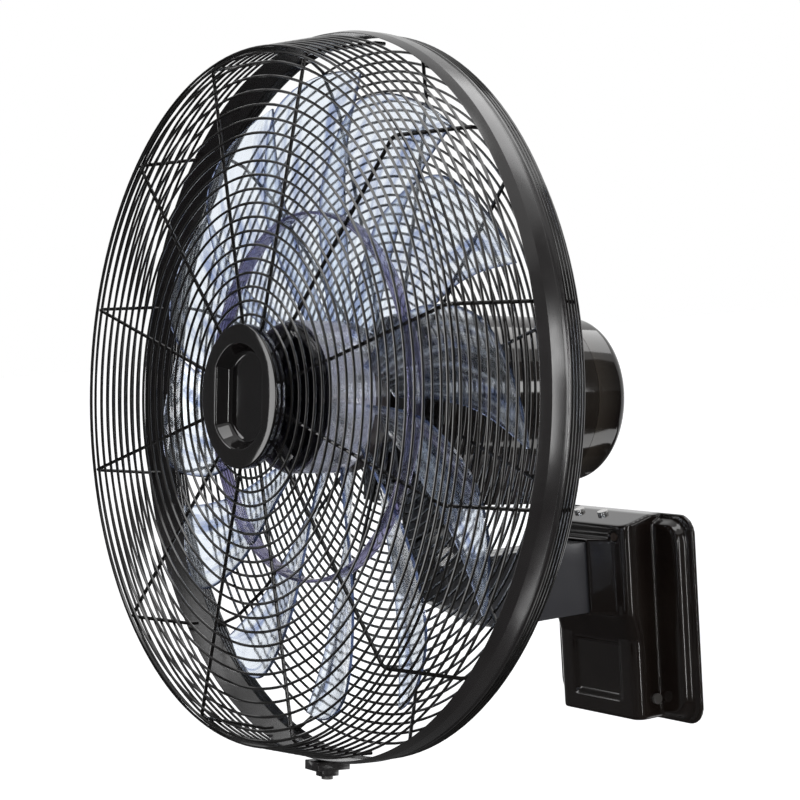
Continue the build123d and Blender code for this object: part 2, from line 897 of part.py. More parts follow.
blade_front = blade_rows(0)
blade_back = blade_rows(blade_thick)
skin = []
for near, far in zip(blade_front, blade_front[1:]):
    for side in range(2):
        skin.append(facet(near[side], far[side], near[side + 1]))
        skin.append(facet(near[side + 1], far[side], far[side + 1]))
for near, far in zip(blade_back, blade_back[1:]):
    for side in range(2):
        skin.append(facet(near[side], near[side + 1], far[side]))
        skin.append(facet(near[side + 1], far[side + 1], far[side]))
for edge in (0, 2):
    for place in range(len(blade_edges) - 1):
        front_near, front_far = blade_front[place][edge], blade_front[place + 1][edge]
        back_near, back_far = blade_back[place][edge], blade_back[place + 1][edge]
        skin.append(facet(front_near, front_far, back_far, back_near))
for end in (0, -1):
    for side in range(2):
        front_one, front_two = blade_front[end][side], blade_front[end][side + 1]
        back_one, back_two = blade_back[end][side], blade_back[end][side + 1]
        skin.append(facet(front_one, front_two, back_two, back_one))
blade = Solid(Shell([face for piece in skin for face in piece.faces()]))

with BuildPart() as hub:
    with BuildSketch(Plane.XY.offset(hub_back)):
        RegularPolygon(hub_r, hub_sides)
    extrude(amount=hub_front - hub_back)
    with BuildSketch(Plane.XY.offset(hub_back)):
        RegularPolygon(hub_r - hub_wall, round_sides)
        RegularPolygon(hub_boss_r, screw_sides, mode=Mode.SUBTRACT)
    extrude(amount=hub_front - hub_front_thick - hub_back, mode=Mode.SUBTRACT)
    with BuildSketch(Plane.XY.offset(hub_back)):
        RegularPolygon(hub_boss_r, screw_sides)
    extrude(amount=hub_boss_back - hub_back, mode=Mode.SUBTRACT)
    with BuildSketch(Plane.XY.offset(hub_front)):
        Circle(shaft_r)
    extrude(amount=hub_back - hub_front, mode=Mode.SUBTRACT)
    # the band that joins the blades
    with BuildSketch(Plane.XY.offset(blade_band_back)):
        RegularPolygon(blade_band_r, ring_sides)
        RegularPolygon(blade_band_r - blade_band_wall, ring_sides, mode=Mode.SUBTRACT)
    extrude(amount=blade_band_front - blade_band_back)

with BuildPart(fan) as blade_wheel:
    add(hub.part)
    with PolarLocations(0, blades, start_angle=90 - first_tip + blade_axis_lag):
        add(blade)
keep(blade_wheel, "blade_wheel")

with BuildPart() as blade_nut:
    with BuildSketch(fan.offset(hub_front)):
        RegularPolygon(blade_nut_r, hex_sides)
    extrude(amount=blade_nut_thick)
keep(blade_nut, "blade_nut")

# ---------------------------------------------------------------- badge in the middle of the front
dish_depth = badge_front - dish_floor
with BuildPart() as dish:
    with BuildSketch(fan_back.offset(-badge_front - dish_depth)):
        RegularPolygon(dish_r, round_sides, False)
    extrude(amount=2 * dish_depth)
    dish_face = dish.faces().sort_by(fan_axis)[0]
    chamfer(dish_face.edges(), dish_r - dish_floor_r, dish_depth, reference=dish_face)

with BuildPart() as badge:
    with BuildSketch(fan.offset(face_front)):
        Circle(badge_r)
    extrude(amount=badge_front - face_front)
    # plug that sits inside the centre ring
    with BuildSketch(fan.offset(face_front)):
        RegularPolygon(badge_seat_r, round_sides)
    extrude(amount=dish_floor - badge_thick - face_front)
    add(dish.part, mode=Mode.SUBTRACT)
keep(badge, "badge")
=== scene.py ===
import bmesh
import bpy
import json
import math
from mathutils import Matrix, Vector

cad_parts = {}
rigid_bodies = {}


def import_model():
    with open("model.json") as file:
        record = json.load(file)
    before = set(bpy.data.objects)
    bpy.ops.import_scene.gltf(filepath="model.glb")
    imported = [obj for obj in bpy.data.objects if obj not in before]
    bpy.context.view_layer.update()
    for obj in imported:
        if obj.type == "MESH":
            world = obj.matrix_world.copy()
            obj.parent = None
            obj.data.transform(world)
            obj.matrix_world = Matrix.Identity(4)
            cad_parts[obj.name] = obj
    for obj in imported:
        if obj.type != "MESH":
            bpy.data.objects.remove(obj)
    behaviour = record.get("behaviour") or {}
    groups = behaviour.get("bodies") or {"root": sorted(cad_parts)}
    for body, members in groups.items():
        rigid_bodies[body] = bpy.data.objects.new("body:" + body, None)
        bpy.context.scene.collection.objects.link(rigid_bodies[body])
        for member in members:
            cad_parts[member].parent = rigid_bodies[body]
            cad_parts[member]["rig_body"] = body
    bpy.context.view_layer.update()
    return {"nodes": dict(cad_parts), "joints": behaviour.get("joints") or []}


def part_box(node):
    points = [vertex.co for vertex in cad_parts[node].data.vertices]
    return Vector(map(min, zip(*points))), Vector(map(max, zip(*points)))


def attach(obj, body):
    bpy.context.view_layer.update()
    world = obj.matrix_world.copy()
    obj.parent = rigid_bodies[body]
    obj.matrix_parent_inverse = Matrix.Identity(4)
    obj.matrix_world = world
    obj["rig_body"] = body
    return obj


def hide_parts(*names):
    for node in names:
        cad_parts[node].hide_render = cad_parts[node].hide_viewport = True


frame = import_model()

# ---------------------------------------------------------------- sizes, in metres
mm = 0.001
joints = {joint["name"]: joint for joint in frame["joints"]}
spin, swing = joints["spin"], joints["swing"]


def half_width(node):
    """Half of a CAD node's width along X, which is the radius of a round one."""
    low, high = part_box(node)
    return (high.x - low.x) / 2


# the band is turned a hair smaller than the CAD one, so that it stays in the CAD box
band_r = half_width("rim_band") - 0.05 * mm
motor_r = half_width("motor_housing")
badge_r = half_width("badge")
tip_r = half_width("blade_wheel")

# places along the fan's axis, forward of the middle of the rim
band_front, band_back = 17 * mm, -12 * mm
band_inner_r = band_r - 2.6 * mm
band_end = -8.5 * mm
face_front = 78 * mm
motor_front, motor_split, motor_back = -53 * mm, -200 * mm, -231 * mm
hub_r, hub_front, hub_back = 57 * mm, 50 * mm, -10 * mm

ribs = 12
first_rib = math.radians(15)
blades = 12

# the fan's own frame: x to the right, y up, z forward, from the middle of the rim
right = Vector((1, 0, 0))
fan_forward = Vector(spin["axis"]).normalized()
fan_up = Vector(swing["axis"]).normalized()
fan_turn = Matrix((right, fan_up, fan_forward)).transposed().to_4x4()
fan_place = Matrix.Translation(Vector(spin["pos_m"])) @ fan_turn


# ---------------------------------------------------------------- mesh helpers
def rounded(corners, steps=5):
    """The points of an outline whose corners are given as x, y and the radius that rounds them."""
    points = []
    count = len(corners)
    for place, (x, y, radius) in enumerate(corners):
        here = Vector((x, y))
        if radius == 0:
            points.append((x, y))
            continue
        to_last = (Vector(corners[place - 1][:2]) - here).normalized()
        to_next = (Vector(corners[(place + 1) % count][:2]) - here).normalized()
        half = to_last.angle(to_next) / 2
        middle = here + (to_last + to_next).normalized() * radius / math.sin(half)
        start = here + to_last * radius / math.tan(half) - middle
        end = here + to_next * radius / math.tan(half) - middle
        sweep = start.angle(end)
        for step in range(steps + 1):
            share = step / steps
            arm = start * math.sin((1 - share) * sweep) + end * math.sin(share * sweep)
            point = middle + arm / math.sin(sweep)
            points.append((point.x, point.y))
    return points


def mesh_of(name, shape):
    """A mesh made from a bmesh, which is freed."""
    mesh = bpy.data.meshes.new(name)
    shape.to_mesh(mesh)
    shape.free()
    return mesh


def linked(name, data):
    """A new object in the scene."""
    piece = bpy.data.objects.new(name, data)
    bpy.context.scene.collection.objects.link(piece)
    return piece


def settled(source):
    """The plain mesh that an object's modifiers make. The object itself is removed."""
    bpy.context.view_layer.update()
    evaluated = source.evaluated_get(bpy.context.evaluated_depsgraph_get())
    mesh = bpy.data.meshes.new_from_object(evaluated)
    source.modifiers.clear()
    bpy.data.objects.remove(source)
    return mesh


def lathe(profile, steps=128, closed=True):
    """A mesh turned round the z axis from points of radius and height."""
    on_axis = 1e-7
    turns = [math.tau * step / steps for step in range(steps)]
    shape = bmesh.new()
    rings = []
    for radius, height in profile:
        spots = [(radius * math.cos(turn), radius * math.sin(turn), height) for turn in turns]
        if radius < on_axis:
            spots = [(0, 0, height)]
        rings.append([shape.verts.new(spot) for spot in spots])
    followers = rings[1:] + (rings[:1] if closed else [])
    for near, far in zip(rings, followers):
        for step in range(steps):
            sides = ((near, step), (near, step + 1), (far, step + 1), (far, step))
            corners = list(dict.fromkeys(ring[place % len(ring)] for ring, place in sides))
            if len(corners) > 2:
                shape.faces.new(corners)
    bmesh.ops.recalc_face_normals(shape, faces=shape.faces)
    return mesh_of("lathe", shape)


def smooth(mesh, sharp_from=32):
    """Shades a mesh smooth, apart from edges sharper than this many degrees."""
    mesh.polygons.foreach_set("use_smooth", [True] * len(mesh.polygons))
    mesh.set_sharp_from_angle(angle=math.radians(sharp_from))


def shown(name, mesh, material, body, replaced=(), place=None):
    """A finished piece: its mesh in place, with its material, riding on its body."""
    if place is not None:
        mesh.transform(place)
    mesh.materials.clear()
    mesh.materials.append(material)
    smooth(mesh)
    piece = linked(name, mesh)
    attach(piece, body)
    if replaced:
        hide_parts(*replaced)


def on_head(name, mesh, material, node):
    """A piece of the fan's head that stands for a CAD node."""
    shown(name, mesh, material, "head", (node,), fan_place)


def on_wheel(name, mesh, material, replaced=()):
    """A piece of the blade wheel."""
    shown(name, mesh, material, "wheel", replaced, fan_place)


# ---------------------------------------------------------------- geometry node trees
def new_tree(name, inputs):
    """An empty tree with a geometry input, the named inputs after it and a geometry output."""
    tree = bpy.data.node_groups.new(name, "GeometryNodeTree")
    tree.interface.new_socket("Geometry", in_out="INPUT", socket_type="NodeSocketGeometry")
    for label, kind in inputs:
        tree.interface.new_socket(label, in_out="INPUT", socket_type=kind)
    tree.interface.new_socket("Geometry", in_out="OUTPUT", socket_type="NodeSocketGeometry")
    return tree, tree.nodes.new("NodeGroupInput"), tree.nodes.new("NodeGroupOutput")


def swept_wire(tree, entry, path):
    """Adds the nodes that sweep a round wire along a path."""
    profile = tree.nodes.new("GeometryNodeCurvePrimitiveCircle")
    sweep = tree.nodes.new("GeometryNodeCurveToMesh")
    sweep.inputs["Fill Caps"].default_value = True
    tree.links.new(entry.outputs["Sides"], profile.inputs["Resolution"])
    tree.links.new(entry.outputs["Wire radius"], profile.inputs["Radius"])
    tree.links.new(path, sweep.inputs["Curve"])
    tree.links.new(profile.outputs["Curve"], sweep.inputs["Profile Curve"])
    return sweep.outputs["Mesh"]


def finish_tree(tree, entry, leave, geometry):
    """Ends a tree in Realize Instances and Set Material."""
    realize = tree.nodes.new("GeometryNodeRealizeInstances")
    paint = tree.nodes.new("GeometryNodeSetMaterial")
    tree.links.new(geometry, realize.inputs["Geometry"])
    tree.links.new(realize.outputs["Geometry"], paint.inputs["Geometry"])
    tree.links.new(entry.outputs["Material"], paint.inputs["Material"])
    tree.links.new(paint.outputs["Geometry"], leave.inputs["Geometry"])


def ring_wires_tree():
    """A round wire about the z axis for each point, whose x is its radius and z its height."""
    inputs = (
        ("Wire radius", "NodeSocketFloat"),
        ("Segments", "NodeSocketInt"),
        ("Sides", "NodeSocketInt"),
        ("Material", "NodeSocketMaterial"),
    )
    tree, entry, leave = new_tree("ring wires", inputs)
    circle = tree.nodes.new("GeometryNodeCurvePrimitiveCircle")
    circle.inputs["Radius"].default_value = 1
    position = tree.nodes.new("GeometryNodeInputPosition")
    split = tree.nodes.new("ShaderNodeSeparateXYZ")
    scale = tree.nodes.new("ShaderNodeCombineXYZ")
    scale.inputs["Z"].default_value = 1
    instance = tree.nodes.new("GeometryNodeInstanceOnPoints")
    back = tree.nodes.new("ShaderNodeMath")
    back.operation = "MULTIPLY"
    back.inputs[1].default_value = -1
    shift = tree.nodes.new("ShaderNodeCombineXYZ")
    centre = tree.nodes.new("GeometryNodeTranslateInstances")
    centre.inputs["Local Space"].default_value = False
    realize = tree.nodes.new("GeometryNodeRealizeInstances")
    link = tree.links.new
    link(entry.outputs["Segments"], circle.inputs["Resolution"])
    link(position.outputs["Position"], split.inputs["Vector"])
    link(split.outputs["X"], scale.inputs["X"])
    link(split.outputs["X"], scale.inputs["Y"])
    link(split.outputs["X"], back.inputs[0])
    link(back.outputs["Value"], shift.inputs["X"])
    link(entry.outputs["Geometry"], instance.inputs["Points"])
    link(circle.outputs["Curve"], instance.inputs["Instance"])
    link(scale.outputs["Vector"], instance.inputs["Scale"])
    link(instance.outputs["Instances"], centre.inputs["Instances"])
    link(shift.outputs["Vector"], centre.inputs["Translation"])
    link(centre.outputs["Instances"], realize.inputs["Geometry"])
    wires = swept_wire(tree, entry, realize.outputs["Geometry"])
    finish_tree(tree, entry, leave, wires)
    return tree


def turned_copies(tree, entry, geometry):
    """Adds the nodes that copy a geometry evenly round the z axis."""
    points = tree.nodes.new("GeometryNodePoints")
    index = tree.nodes.new("GeometryNodeInputIndex")
    step = tree.nodes.new("ShaderNodeMath")
    step.operation = "DIVIDE"
    step.inputs[0].default_value = math.tau
    turn = tree.nodes.new("ShaderNodeMath")
    turn.operation = "MULTIPLY_ADD"
    rotation = tree.nodes.new("ShaderNodeCombineXYZ")
    instance = tree.nodes.new("GeometryNodeInstanceOnPoints")
    link = tree.links.new
    link(entry.outputs["Copies"], points.inputs["Count"])
    link(entry.outputs["Copies"], step.inputs[1])
    link(index.outputs["Index"], turn.inputs[0])
    link(step.outputs["Value"], turn.inputs[1])
    link(entry.outputs["First angle"], turn.inputs[2])
    link(turn.outputs["Value"], rotation.inputs["Z"])
    link(points.outputs[0], instance.inputs["Points"])
    link(geometry, instance.inputs["Instance"])
    link(rotation.outputs["Vector"], instance.inputs["Rotation"])
    return instance.outputs["Instances"]


def wire_spokes_tree():
    """A wire swept along a path, copied evenly round the z axis."""
    inputs = (
        ("Copies", "NodeSocketInt"),
        ("First angle", "NodeSocketFloat"),
        ("Wire radius", "NodeSocketFloat"),
        ("Sides", "NodeSocketInt"),
        ("Material", "NodeSocketMaterial"),
    )
    tree, entry, leave = new_tree("wire spokes", inputs)
    wire = swept_wire(tree, entry, entry.outputs["Geometry"])
    finish_tree(tree, entry, leave, turned_copies(tree, entry, wire))
    return tree


def turned_tree():
    """A mesh copied evenly round the z axis."""
    inputs = (
        ("Copies", "NodeSocketInt"),
        ("First angle", "NodeSocketFloat"),
        ("Material", "NodeSocketMaterial"),
    )
    tree, entry, leave = new_tree("turned copies", inputs)
    finish_tree(tree, entry, leave, turned_copies(tree, entry, entry.outputs["Geometry"]))
    return tree


def grown(base, tree, values):
    """The plain mesh that a tree makes of a base mesh or curve."""
    source = linked(tree.name, base)
    modifier = source.modifiers.new(tree.name, "NODES")
    modifier.node_group = tree
    for item in tree.interface.items_tree:
        if item.item_type == "SOCKET" and item.in_out == "INPUT" and item.name in values:
            modifier[item.identifier] = values[item.name]
    return settled(source)


def ring_points(places):
    """A mesh of single points, one for each ring's radius and height."""
    mesh = bpy.data.meshes.new("ring places")
    mesh.from_pydata([(radius, 0, height) for radius, height in places], [], [])
    return mesh


def wire_path(points):
    """An open curve through points of radius and height."""
    curve = bpy.data.curves.new("wire path", "CURVE")
    curve.dimensions = "3D"
    spline = curve.splines.new("POLY")
    spline.points.add(len(points) - 1)
    for point, (radius, height) in zip(spline.points, points):
        point.co = (radius, 0, height, 1)
    return curve


# ---------------------------------------------------------------- materials
# most of a noise pattern's values lie between these
faint, strong = 0.3, 0.7


def base_material(name, colour, roughness):
    """A material with a Principled shader, and its object coordinates."""
    material = bpy.data.materials.new(name)
    material.use_nodes = True
    nodes = material.node_tree.nodes
    shader = nodes["Principled BSDF"]
    shader.inputs["Base Color"].default_value = (*colour, 1)
    shader.inputs["Roughness"].default_value = roughness
    place = nodes.new("ShaderNodeTexCoord").outputs["Object"]
    return material, shader, place


def noise(material, place, scale, detail=3, roughness=0.5):
    """A noise pattern's value, so many cells to the metre."""
    node = material.node_tree.nodes.new("ShaderNodeTexNoise")
    node.inputs["Scale"].default_value = scale
    node.inputs["Detail"].default_value = detail
    node.inputs["Roughness"].default_value = roughness
    material.node_tree.links.new(place, node.inputs["Vector"])
    return node.outputs["Fac"]


def stretched(material, place, stretch):
    """Coordinates stretched along the axes."""
    node = material.node_tree.nodes.new("ShaderNodeMapping")
    node.inputs["Scale"].default_value = stretch
    material.node_tree.links.new(place, node.inputs["Vector"])
    return node.outputs["Vector"]


def ranged(material, value, low, high, start=faint, end=strong):
    """A pattern's value brought between two numbers."""
    node = material.node_tree.nodes.new("ShaderNodeMapRange")
    node.inputs["From Min"].default_value = start
    node.inputs["From Max"].default_value = end
    node.inputs["To Min"].default_value = low
    node.inputs["To Max"].default_value = high
    material.node_tree.links.new(value, node.inputs["Value"])
    return node.outputs["Result"]


def tinted(material, value, dark, light, start=faint, end=strong):
    """A colour between two by a pattern's value."""
    node = material.node_tree.nodes.new("ShaderNodeValToRGB")
    node.color_ramp.elements[0].position = start
    node.color_ramp.elements[0].color = (*dark, 1)
    node.color_ramp.elements[1].position = end
    node.color_ramp.elements[1].color = (*light, 1)
    material.node_tree.links.new(value, node.inputs["Fac"])
    return node.outputs["Color"]


def bumped(material, shader, height, strength, distance):
    """Raises the surface by a pattern's value."""
    node = material.node_tree.nodes.new("ShaderNodeBump")
    node.inputs["Strength"].default_value = strength
    node.inputs["Distance"].default_value = distance
    links = material.node_tree.links
    links.new(height, node.inputs["Height"])
    links.new(node.outputs["Normal"], shader.inputs["Normal"])


def blended(material, share, under, over):
    """A linked colour that gives way to a plain one by a share from 0 to 1."""
    share_in, under_in, over_in, colour_out = 0, 6, 7, 2
    node = material.node_tree.nodes.new("ShaderNodeMix")
    node.data_type = "RGBA"
    node.inputs[over_in].default_value = (*over, 1)
    links = material.node_tree.links
    links.new(share, node.inputs[share_in])
    links.new(under, node.inputs[under_in])
    return node.outputs[colour_out]


def scaled(colour, times):
    """A colour made lighter or darker."""
    return tuple(times * part for part in colour)


def coloured(material, shader, pattern, dark, light):
    """Varies the colour by a pattern."""
    varied = tinted(material, pattern, dark, light)
    material.node_tree.links.new(varied, shader.inputs["Base Color"])


def roughened(material, shader, pattern, low, high):
    """Varies the roughness by a pattern."""
    varied = ranged(material, pattern, low, high)
    material.node_tree.links.new(varied, shader.inputs["Roughness"])


def worn_edges(material, shader, colour, bare):
    """Lightens a colour a little along raised edges."""
    raised = material.node_tree.nodes.new("ShaderNodeNewGeometry").outputs["Pointiness"]
    share = ranged(material, raised, 0, 1, start=0.53, end=0.62)
    worn = blended(material, share, colour, bare)
    material.node_tree.links.new(worn, shader.inputs["Base Color"])


def gloss_moulding(name, dark, light, roughness, specular):
    """Gloss black moulded plastic: a slight orange peel, faint haze and paler worn edges."""
    material, shader, place = base_material(name, dark, roughness)
    haze = noise(material, place, scale=24, detail=4)
    rubbing = noise(material, place, scale=60, detail=5)
    orange_peel = noise(material, place, scale=260, detail=2)
    worn_edges(material, shader, tinted(material, haze, dark, light), scaled(light, 4))
    roughened(material, shader, rubbing, roughness * 0.8, roughness * 1.35)
    bumped(material, shader, orange_peel, strength=0.2, distance=0.02 * mm)
    shader.inputs["Specular IOR Level"].default_value = specular
    return material


def dipped_coat(name, dark, light, roughness):
    """Black dip coating on wire: an even gloss with small flow marks."""
    material, shader, place = base_material(name, dark, roughness)
    mottling = noise(material, place, scale=30, detail=4)
    sheen = noise(material, place, scale=80, detail=4)
    flow_marks = noise(material, place, scale=500, detail=2)
    coloured(material, shader, mottling, dark, light)
    roughened(material, shader, sheen, roughness * 0.8, roughness * 1.3)
    bumped(material, shader, flow_marks, strength=0.2, distance=0.02 * mm)
    shader.inputs["Specular IOR Level"].default_value = 0.4
    return material


def satin_coat(name, dark, light, roughness, grain=1500, depth=0.02 * mm, specular=0.5):
    """Satin paint or moulding: fine even grain over a soft sheen."""
    material, shader, place = base_material(name, dark, roughness)
    mottling = noise(material, place, scale=18, detail=4)
    sheen = noise(material, place, scale=90, detail=4)
    fine_grain = noise(material, place, scale=grain, detail=3)
    worn_edges(material, shader, tinted(material, mottling, dark, light), scaled(light, 3))
    roughened(material, shader, sheen, roughness * 0.9, roughness * 1.15)
    bumped(material, shader, fine_grain, strength=0.5, distance=depth)
    shader.inputs["Specular IOR Level"].default_value = specular
    return material


def bare_steel(name, colour, roughness, along=(1, 1, 12)):
    """Bare or plated steel with drawn lines across the axis that is stretched most."""
    material, shader, place = base_material(name, colour, roughness)
    lines = noise(material, stretched(material, place, along), scale=500, detail=4)
    coloured(material, shader, lines, scaled(colour, 0.8), colour)
    roughened(material, shader, lines, roughness * 0.7, roughness * 1.4)
    bumped(material, shader, lines, strength=0.2, distance=0.01 * mm)
    shader.inputs["Metallic"].default_value = 0.75
    return material


def plain_moulding(name, dark, light, roughness):
    """Unpainted moulded plastic with a little mottling."""
    material, shader, place = base_material(name, light, roughness)
    mottling = noise(material, place, scale=120)
    sheen = noise(material, place, scale=300)
    fine_grain = noise(material, place, scale=900, detail=2)
    coloured(material, shader, mottling, dark, light)
    roughened(material, shader, sheen, roughness * 0.85, roughness * 1.2)
    bumped(material, shader, fine_grain, strength=0.3, distance=0.01 * mm)
    return material


def passing_lamps(material, shader, pale):
    """Lets lamps through a clear piece, so that it casts a pale shadow."""
    nodes, links = material.node_tree.nodes, material.node_tree.links
    from_lamp = nodes.new("ShaderNodeLightPath").outputs["Is Shadow Ray"]
    passing = nodes.new("ShaderNodeBsdfTransparent")
    passing.inputs["Color"].default_value = (*pale, 1)
    mix = nodes.new("ShaderNodeMixShader")
    links.new(from_lamp, mix.inputs[0])
    links.new(shader.outputs[0], mix.inputs[1])
    links.new(passing.outputs[0], mix.inputs[2])
    links.new(mix.outputs[0], nodes["Material Output"].inputs["Surface"])


def clear_plastic(name, pale, deep, roughness, ripple, clearness):
    """Clear tinted plastic, a little uneven in its thickness. Where its clearness is set low, the
    less clear patches show pale, as painted glints.
    """
    material, shader, place = base_material(name, pale, roughness)
    links = material.node_tree.links
    flow = noise(material, place, scale=45)
    waves = noise(material, place, scale=26, detail=2, roughness=0.4)
    tint = tinted(material, flow, deep, pale, start=0.4, end=0.6)
    links.new(tint, shader.inputs["Base Color"])
    # where clearness is set low, the less clear patches show the pale colour: painted glints
    links.new(ranged(material, flow, clearness, 0.98), shader.inputs["Transmission Weight"])
    roughened(material, shader, flow, roughness, roughness * 1.6)
    bumped(material, shader, waves, strength=0.5, distance=ripple)
    shader.inputs["IOR"].default_value = 1.4
    passing_lamps(material, shader, pale)
    return material


def plastic_with_painted_streaks(name, pale, deep, edge, roughness, ripple):
    """Clear blue plastic, streaked with painted reflections that run out along each blade, by the
    blade's own map, and with painted shade along its edges.
    """
    material, shader, place = base_material(name, pale, roughness)
    nodes, links = material.node_tree.nodes, material.node_tree.links
    map_place = nodes.new("ShaderNodeTexCoord").outputs["UV"]
    broad, narrow = (2, 6, 1), (2, 14, 1)
    painted_reflection_streaks = noise(material, stretched(material, map_place, broad), 1, detail=4, roughness=0.55)
    painted_glint_frost = noise(material, stretched(material, map_place, narrow), 1)
    waves = noise(material, place, scale=22, detail=2, roughness=0.4)
    spot = nodes.new("ShaderNodeSeparateXYZ")
    off_middle = nodes.new("ShaderNodeMath")
    off_middle.operation = "SUBTRACT"
    off_middle.inputs[1].default_value = 0.5
    from_middle = nodes.new("ShaderNodeMath")
    from_middle.operation = "ABSOLUTE"
    links.new(map_place, spot.inputs["Vector"])
    links.new(spot.outputs["Y"], off_middle.inputs[0])
    links.new(off_middle.outputs[0], from_middle.inputs[0])
    # painted shade: a dark band along each blade's leading and trailing edges
    painted_edge_shade = ranged(material, from_middle.outputs[0], 0, 1, start=0.46, end=0.5)
    # painted reflections: navy stripes between pale ones along the blade
    tint = tinted(material, painted_reflection_streaks, deep, pale, start=0.34, end=0.5)
    links.new(blended(material, painted_edge_shade, tint, edge), shader.inputs["Base Color"])
    # painted glints: frosted stripes let less light through and show pale
    clearness = ranged(material, painted_glint_frost, 0.99, 0.84, start=0.5, end=0.66)
    links.new(clearness, shader.inputs["Transmission Weight"])
    roughened(material, shader, painted_reflection_streaks, roughness, roughness * 2)
    bumped(material, shader, waves, strength=0.6, distance=ripple)
    shader.inputs["IOR"].default_value = 1.42
    passing_lamps(material, shader, pale)
    return material


cover_black = gloss_moulding(
    "gloss black cover", dark=(0.0045, 0.003, 0.0025), light=(0.007, 0.005, 0.004),
    roughness=0.1, specular=0.45,
)
motor_black = gloss_moulding(
    "gloss black motor shell", dark=(0.004, 0.003, 0.003), light=(0.006, 0.005, 0.004),
    roughness=0.07, specular=0.45,
)
badge_black = gloss_moulding(
    "high gloss badge", dark=(0.003, 0.003, 0.003), light=(0.005, 0.004, 0.004),
    roughness=0.05, specular=0.4,
)
gear_black = gloss_moulding(
    "gearbox moulding", dark=(0.005, 0.004, 0.004), light=(0.009, 0.007, 0.007),
    roughness=0.2, specular=0.35,
)
wire_black = dipped_coat(
    "coated wire", dark=(0.0045, 0.004, 0.0038), light=(0.006, 0.0055, 0.005), roughness=0.12,
)
band_black = satin_coat(
    "satin band moulding", dark=(0.008, 0.007, 0.007), light=(0.012, 0.011, 0.011), roughness=0.22,
)
arm_black = satin_coat(
    "arm paint", dark=(0.005, 0.005, 0.006), light=(0.008, 0.008, 0.009),
    roughness=0.22, specular=0.35,
)
casting_black = satin_coat(
    "knuckle paint", dark=(0.006, 0.006, 0.007), light=(0.01, 0.009, 0.01),
    roughness=0.36, grain=700, depth=0.05 * mm, specular=0.25,
)
knob_black = satin_coat(
    "knob moulding", dark=(0.008, 0.008, 0.008), light=(0.013, 0.012, 0.012),
    roughness=0.5, grain=900, depth=0.06 * mm, specular=0.3,
)
black_oxide = satin_coat(
    "black oxide screw", dark=(0.008, 0.008, 0.008), light=(0.016, 0.015, 0.014), roughness=0.3,
)
bright_steel = bare_steel("bright steel", (0.62, 0.61, 0.6), roughness=0.2)
zinc_sheet = bare_steel("zinc plated sheet", (0.5, 0.51, 0.53), roughness=0.3, along=(1, 8, 1))
lamination = bare_steel("stacked steel sheets", (0.2, 0.19, 0.18), roughness=0.45, along=(1, 30, 1))
drawn_can = bare_steel("drawn steel can", (0.5, 0.5, 0.46), roughness=0.28)
nylon = plain_moulding(
    "natural nylon", dark=(0.62, 0.6, 0.54), light=(0.74, 0.72, 0.66), roughness=0.4,
)
acetal = plain_moulding(
    "natural acetal", dark=(0.74, 0.74, 0.71), light=(0.82, 0.82, 0.79), roughness=0.35,
)
# blades: deep is the navy of their painted reflections, edge is the painted shade along their edges
blade_clear_painted_streaks = plastic_with_painted_streaks(
    "pale blue clear plastic, painted streaks", pale=(0.86, 0.91, 0.97), deep=(0.28, 0.35, 0.56),
    edge=(0.10, 0.14, 0.28), roughness=0.03, ripple=2.0 * mm,
)
band_smoke = clear_plastic(
    "violet tinted clear plastic", pale=(0.24, 0.23, 0.36), deep=(0.15, 0.14, 0.25),
    roughness=0.04, ripple=0.5 * mm, clearness=0.96,
)
# the hub's side: pale and frosted in patches, painted glints and a lit inside seen through it
smoke_with_painted_glints = clear_plastic(
    "smoked clear plastic, painted glints", pale=(0.80, 0.80, 0.84), deep=(0.5, 0.5, 0.58),
    roughness=0.05, ripple=1.6 * mm, clearness=0.55,
)
hub_dark = clear_plastic(
    "dark smoked plastic", pale=(0.05, 0.045, 0.07), deep=(0.02, 0.018, 0.03),
    roughness=0.05, ripple=0.3 * mm, clearness=0.96,
)


# ---------------------------------------------------------------- carried over CAD nodes
def dress(material, *nodes):
    """Gives a material to CAD nodes."""
    for node in nodes:
        mesh = frame["nodes"][node].data
        mesh.materials.clear()
        mesh.materials.append(material)


def joined(node):
    """A CAD node's shape, with the corners that its triangles share merged."""
    shape = bmesh.new()
    shape.from_mesh(frame["nodes"][node].data)
    bmesh.ops.remove_doubles(shape, verts=shape.verts, dist=0.002 * mm)
    return shape


def rounded_node(node, source, material):
    """Shows what an object's modifiers make, in place of the CAD node it was copied from."""
    body = frame["nodes"][node]["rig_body"]
    shown(node + "_rounded", settled(source), material, body, (node,))


def softened(node, material, width):
    """Stands for a CAD node with the same piece whose sharp edges are rounded."""
    flat, sharp = math.radians(1), math.radians(25)
    shape = joined(node)
    bmesh.ops.dissolve_limit(shape, angle_limit=flat, verts=shape.verts, edges=shape.edges)
    source = linked(node + "_soft", mesh_of(node + "_soft", shape))
    bevel = source.modifiers.new("edges", "BEVEL")
    bevel.width = width
    bevel.segments = 3
    bevel.limit_method = "ANGLE"
    bevel.angle_limit = sharp
    bevel.use_clamp_overlap = True
    bevel.harden_normals = True
    rounded_node(node, source, material)


def moulded(node, material, cell, passes):
    """Stands for a CAD node with the same piece, all its edges rounded as a moulding's are."""
    source = linked(node + "_moulded", mesh_of(node + "_moulded", joined(node)))
    skin = source.modifiers.new("skin", "REMESH")
    skin.mode = "VOXEL"
    skin.voxel_size = cell
    ease = source.modifiers.new("ease", "SMOOTH")
    ease.factor = 0.5
    ease.iterations = passes
    rounded_node(node, source, material)


